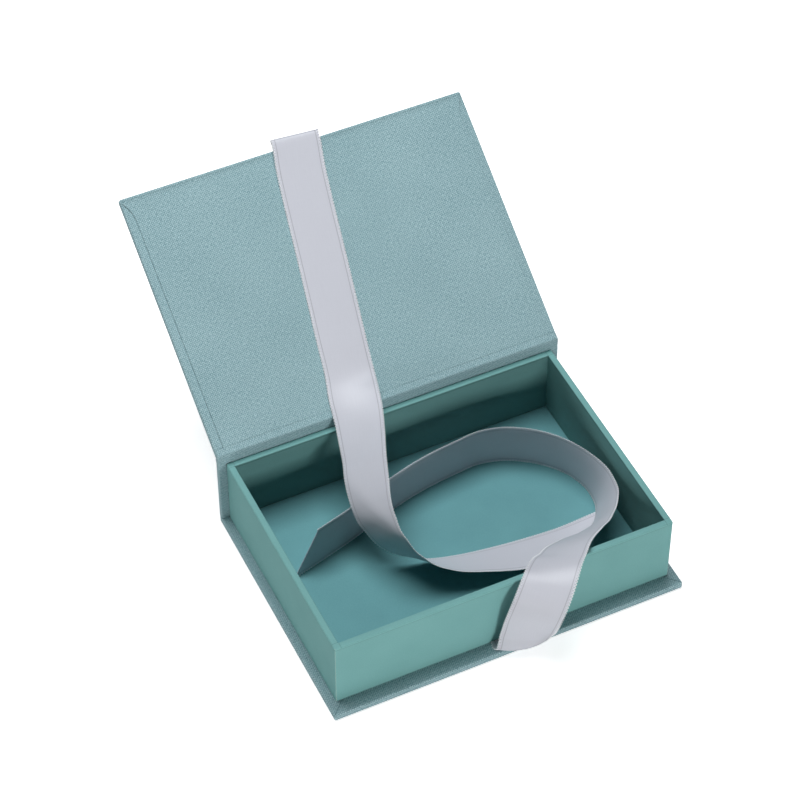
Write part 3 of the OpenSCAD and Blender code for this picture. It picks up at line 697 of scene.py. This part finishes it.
# %% Strip of satin
class Tape:
    """A ribbon laid along two edge routes, bowed across where its middle line is drawn too.

    Its end is cut on a slant: one edge stops short of the other by cut, the left one if short_left.
    """

    def __init__(self, left, right, cut, short_left, curl=(), first=0):
        middle = [(np.array(a) + np.array(b)) / 2 for a, b in zip(left, right)]
        middle[first:first + len(curl)] = curl
        a, b, middle = catmull(left, 8), catmull(right, 8), catmull(middle, 8)
        side, bow = a - b, (a + b) / 2 - middle
        chord, sag = np.linalg.norm(side, axis=1), np.linalg.norm(bow, axis=1)
        arc = chord + 8 / 3 * sag ** 2 / chord  # how long a shallow bow over the chord is
        grow = (RIBBON_W / arc)[:, None]
        side, bow = side * grow / RIBBON_W, bow * grow * 4 / RIBBON_W ** 2
        steps = np.linalg.norm(np.diff(middle, axis=0), axis=1)
        self.along = np.concatenate([[0], np.cumsum(steps)])
        self.rows = np.stack([middle, side, bow] + [
            np.gradient(row, self.along, axis=0) for row in (middle, side, bow)], axis=1)
        self.length = self.along[-1]
        self.cut, self.short_left = cut, short_left

    def stop(self, across):
        """How far along the thread at this place across is cut."""
        share = 0.5 + across / RIBBON_W
        return self.length - self.cut * (share if self.short_left else 1 - share)

    def frame(self, along, across):
        """The place on the strip, the way across it and the way straight off its face."""
        k = min(max(int(np.searchsorted(self.along, along)), 1), len(self.along) - 1)
        share = (along - self.along[k - 1]) / (self.along[k] - self.along[k - 1])
        before, after = self.rows[k - 1], self.rows[k]
        middle, side, bow, way, turn, curl = before + share * (after - before)
        over = side + 2 * across * bow
        up = np.cross(way + across * turn + across ** 2 * curl, over)
        return (middle + across * side + across ** 2 * bow, over / np.linalg.norm(over),
                up / np.linalg.norm(up))

    def point(self, along, across, above):
        place, over, up = self.frame(along, across)
        return place + up * above

def satin_strip(name, tape, rows=420, columns=12):
    """The strip as a closed mesh: even rows to the cut, then rows that draw in to the slant."""
    points, faces, flat = [], [], []
    start_of_cut = tape.length - 1.3 * tape.cut
    body = int(rows * start_of_cut / tape.length)
    for i in range(rows + 1):
        for j in range(columns + 1):
            across = RIBBON_W * (j / columns - 0.5)
            if i <= body:
                along = start_of_cut * i / body
            else:
                t = (i - body) / (rows - body)
                along = start_of_cut + t * (tape.stop(across) - start_of_cut)
            half = RIBBON_T / 2 * (0.55 if j in (0, columns) else 1.0)
            points.append(tape.point(along, across, half))
            points.append(tape.point(along, across, -half))
            flat.append((across, along))

    def top(i, j):
        return 2 * (i * (columns + 1) + j)

    for i in range(rows):
        for j in range(columns):
            faces.append((top(i, j), top(i + 1, j), top(i + 1, j + 1), top(i, j + 1)))
            faces.append((top(i, j) + 1, top(i, j + 1) + 1, top(i + 1, j + 1) + 1,
                          top(i + 1, j) + 1))
        faces.append((top(i, 0), top(i, 0) + 1, top(i + 1, 0) + 1, top(i + 1, 0)))
        faces.append((top(i, columns), top(i + 1, columns), top(i + 1, columns) + 1,
                      top(i, columns) + 1))
    for j in range(columns):
        faces.append((top(0, j), top(0, j + 1), top(0, j + 1) + 1, top(0, j) + 1))
        faces.append((top(rows, j), top(rows, j) + 1, top(rows, j + 1) + 1, top(rows, j + 1)))
    piece = make_piece(name, points, faces, sharp=60)
    layer = piece.data.uv_layers.new(name="cloth")
    for loop in piece.data.loops:
        layer.data[loop.index].uv = flat[loop.vertex_index // 2]
    to_metres(piece)
    piece.data.materials.append(ribbon_satin)
    return piece

lid_tape = Tape(lid_left, lid_right, cut=23.5, short_left=False)
base_tape = Tape(base_upper, base_lower, cut=15.0, short_left=True, curl=base_curl, first=3)
print("lengths", round(lid_tape.length, 1), round(base_tape.length, 1))
lid_ribbon = satin_strip("ribbon_lid", lid_tape)
base_ribbon = satin_strip("ribbon_base", base_tape)

# %% [markdown]
# ### Looped edges
# Along both edges the filling thread comes out in tiny loops, about one and a half millimetres
# apart. They repeat along a path, which is what Geometry Nodes do well: the edge becomes a curve,
# the curve is cut into even steps, and a loop is set on each step, turned to face outward.

# %% Looped edges by Geometry Nodes
def loop_edge_tree():
    tree = bpy.data.node_groups.new("looped_edge", "GeometryNodeTree")
    face = tree.interface
    face.new_socket("Edge", in_out="INPUT", socket_type="NodeSocketGeometry")
    for name, value in (("Pitch", LOOP_PITCH * MM), ("Loop Width", 0.95 * MM),
                        ("Loop Height", 0.8 * MM), ("Thread", 0.22 * MM)):
        socket = face.new_socket(name, in_out="INPUT", socket_type="NodeSocketFloat")
        socket.default_value = value
    face.new_socket("Finish", in_out="INPUT", socket_type="NodeSocketMaterial")
    face.new_socket("Loops", in_out="OUTPUT", socket_type="NodeSocketGeometry")
    add, link = tree.nodes.new, tree.links.new
    given, result = add("NodeGroupInput"), add("NodeGroupOutput")
    curve = add("GeometryNodeMeshToCurve")
    link(given.outputs["Edge"], curve.inputs[0])
    steps = add("GeometryNodeResampleCurve")
    steps.mode = "LENGTH"
    link(curve.outputs[0], steps.inputs["Curve"])
    link(given.outputs["Pitch"], steps.inputs["Length"])
    arc = add("GeometryNodeCurveArc")
    arc.inputs["Resolution"].default_value = 6
    arc.inputs["Radius"].default_value = 0.5
    arc.inputs["Start Angle"].default_value = math.radians(-90)
    arc.inputs["Sweep Angle"].default_value = math.radians(180)
    size = add("ShaderNodeCombineXYZ")
    double = add("ShaderNodeMath")
    double.operation = "MULTIPLY"
    double.inputs[1].default_value = 2.0
    link(given.outputs["Loop Height"], double.inputs[0])
    link(double.outputs[0], size.inputs[0])
    link(given.outputs["Loop Width"], size.inputs[1])
    size.inputs[2].default_value = 1.0
    shaped = add("GeometryNodeTransform")
    link(arc.outputs[0], shaped.inputs["Geometry"])
    link(size.outputs[0], shaped.inputs["Scale"])
    ring = add("GeometryNodeCurvePrimitiveCircle")
    ring.inputs["Resolution"].default_value = 4
    link(given.outputs["Thread"], ring.inputs["Radius"])
    thread = add("GeometryNodeCurveToMesh")
    link(shaped.outputs[0], thread.inputs["Curve"])
    link(ring.outputs[0], thread.inputs["Profile Curve"])
    outward, square = add("GeometryNodeInputNamedAttribute"), add("GeometryNodeInputNamedAttribute")
    for node, name in ((outward, "outward"), (square, "square")):
        node.data_type = "FLOAT_VECTOR"
        node.inputs["Name"].default_value = name
    first = add("FunctionNodeAlignRotationToVector")
    second = add("FunctionNodeAlignRotationToVector")
    first.axis = "X"
    second.axis, second.pivot_axis = "Z", "X"
    link(outward.outputs["Attribute"], first.inputs["Vector"])
    link(first.outputs[0], second.inputs["Rotation"])
    link(square.outputs["Attribute"], second.inputs["Vector"])
    each = add("GeometryNodeInstanceOnPoints")
    link(steps.outputs[0], each.inputs["Points"])
    link(thread.outputs[0], each.inputs["Instance"])
    link(second.outputs[0], each.inputs["Rotation"])
    real = add("GeometryNodeRealizeInstances")
    link(each.outputs[0], real.inputs[0])
    finish = add("GeometryNodeSetMaterial")
    link(real.outputs[0], finish.inputs["Geometry"])
    link(given.outputs["Finish"], finish.inputs["Material"])
    link(finish.outputs[0], result.inputs[0])
    return tree

def thread_finish(name, color):
    g = Graph(name, color, 0.5)
    grain = g.noise(g.place(), (1000.0, 1000.0, 1000.0), 6.0, 2.0)
    deep = tuple(c * 0.85 for c in color)
    return g.finish(g.blend(grain, deep, color), g.bump(grain, 0.00001))

edge_thread = thread_finish("edge_thread", srgb(246, 247, 250))
edge_tree = loop_edge_tree()

def looped_edge(name, tape):
    """The loops along both edges of a ribbon. An edge is a path of points half a loop apart."""
    points, outward, square, edges = [], [], [], []
    for sign in (-1, 1):
        across = sign * (RIBBON_W / 2 - 0.3)
        stop = tape.stop(across)
        n = int(stop / (LOOP_PITCH / 2))
        for k in range(n + 1):
            along = stop * k / n
            if k:
                edges.append((len(points) - 1, len(points)))
            place, over, up = tape.frame(along, across)
            points.append(place * MM)
            outward.append(sign * over)
            square.append(up)
    mesh = bpy.data.meshes.new(name + "_path")
    mesh.from_pydata([tuple(p) for p in points], edges, [])
    for key, rows in (("outward", outward), ("square", square)):
        attribute = mesh.attributes.new(key, "FLOAT_VECTOR", "POINT")
        attribute.data.foreach_set("vector", np.array(rows, np.float32).ravel())
    path = bpy.data.objects.new(name + "_path", mesh)
    bpy.context.scene.collection.objects.link(path)
    modifier = path.modifiers.new("loops", "NODES")
    modifier.node_group = edge_tree
    for item in edge_tree.interface.items_tree:
        if item.in_out == "INPUT" and item.name == "Finish":
            modifier[item.identifier] = edge_thread
    bpy.context.view_layer.update()
    seen = path.evaluated_get(bpy.context.evaluated_depsgraph_get())
    result = bpy.data.meshes.new_from_object(seen)
    result.name = name
    piece = bpy.data.objects.new(name, result)
    bpy.context.scene.collection.objects.link(piece)
    bpy.data.objects.remove(path)
    for polygon in result.polygons:
        polygon.use_smooth = True
    print(name, len(result.polygons), "faces")
    return piece

lid_loops = looped_edge("ribbon_lid_loops", lid_tape)
base_loops = looped_edge("ribbon_base_loops", base_tape)

# %% [markdown]
# ### What the ribbons move with
# One ribbon is held under the lid's lining and lies in the tray; it is set on neither body. The
# other is held under the tray's floor, and moves with the base.

# %% The ribbons in place
for piece in (lid_ribbon, lid_loops):
    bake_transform(piece)
for piece in (base_ribbon, base_loops):
    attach(piece, "base")
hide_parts("lid_ribbon")
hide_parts("base_ribbon")

# %% [markdown]
# ## Floor, light and background
# The box stands on a white floor in plain, soft light: a large lamp overhead, and two small ones
# low in front and on the left. The surround is white to the camera and lights the box hardly at
# all. The floor is matt and white for the light that falls on the box. To the camera it also glows
# a little, so that it shows pure white and keeps only the deepest part of the box's shadow.

# %% Floor and lights
floor_mesh = bpy.data.meshes.new("studio_floor")
HALF, UNDER = 3, -0.0002
floor_mesh.from_pydata([(-HALF, -HALF, UNDER), (HALF, -HALF, UNDER), (HALF, HALF, UNDER),
                        (-HALF, HALF, UNDER)], [], [(0, 1, 2, 3)])
studio_floor = bpy.data.objects.new("studio_floor", floor_mesh)
bpy.context.scene.collection.objects.link(studio_floor)
paint = bpy.data.materials.new("floor_paint")
paint.use_nodes = True
tree = paint.node_tree
tree.nodes.clear()
out = tree.nodes.new("ShaderNodeOutputMaterial")
matt = tree.nodes.new("ShaderNodeBsdfDiffuse")
matt.inputs["Color"].default_value = (0.9, 0.9, 0.9, 1)
glow = tree.nodes.new("ShaderNodeEmission")
path = tree.nodes.new("ShaderNodeLightPath")
gain = tree.nodes.new("ShaderNodeMath")
gain.operation = "MULTIPLY"
gain.inputs[1].default_value = 0.72
both = tree.nodes.new("ShaderNodeAddShader")
tree.links.new(path.outputs["Is Camera Ray"], gain.inputs[0])
tree.links.new(gain.outputs[0], glow.inputs["Strength"])
tree.links.new(matt.outputs[0], both.inputs[0])
tree.links.new(glow.outputs[0], both.inputs[1])
tree.links.new(both.outputs[0], out.inputs["Surface"])
floor_mesh.materials.append(paint)

world = bpy.data.worlds.new("surround")
bpy.context.scene.world = world
world.use_nodes = True
tree = world.node_tree
tree.nodes.clear()
out = tree.nodes.new("ShaderNodeOutputWorld")
seen = tree.nodes.new("ShaderNodeBackground")
seen.inputs["Strength"].default_value = 1.0
lit = tree.nodes.new("ShaderNodeBackground")
lit.inputs["Strength"].default_value = 0.015
path = tree.nodes.new("ShaderNodeLightPath")
choose = tree.nodes.new("ShaderNodeMixShader")
tree.links.new(path.outputs["Is Camera Ray"], choose.inputs[0])
tree.links.new(lit.outputs[0], choose.inputs[1])
tree.links.new(seen.outputs[0], choose.inputs[2])
tree.links.new(choose.outputs[0], out.inputs["Surface"])

def soft_lamp(name, place, aim, size, power, color=(1, 1, 1)):
    data = bpy.data.lights.new(name, "AREA")
    data.shape = "RECTANGLE"
    data.size, data.size_y = size
    data.energy = power
    data.color = color
    lamp = bpy.data.objects.new(name, data)
    bpy.context.scene.collection.objects.link(lamp)
    lamp.location = place
    way = Vector(aim) - Vector(place)
    lamp.rotation_euler = way.to_track_quat("-Z", "Y").to_euler()

soft_lamp("overhead", (-0.02, 0.34, 1.3), (0, 0.03, 0), (0.9, 0.7), 16.2, (0.95, 0.975, 1.0))
soft_lamp("front_fill", (0.05, -1.3, 0.2), (0, -0.03, 0.03), (0.35, 0.12), 7.7)
soft_lamp("left_fill", (-1.2, -0.25, 0.14), (0, 0, 0.03), (0.35, 0.1), 2.8)
print("floor, surround and lamps are in place")

# %% [markdown]
# ## Finishing
# The view transform is the plain one, so that a colour renders as it is written.

# %% Finish
bpy.context.scene.view_settings.view_transform = "Standard"
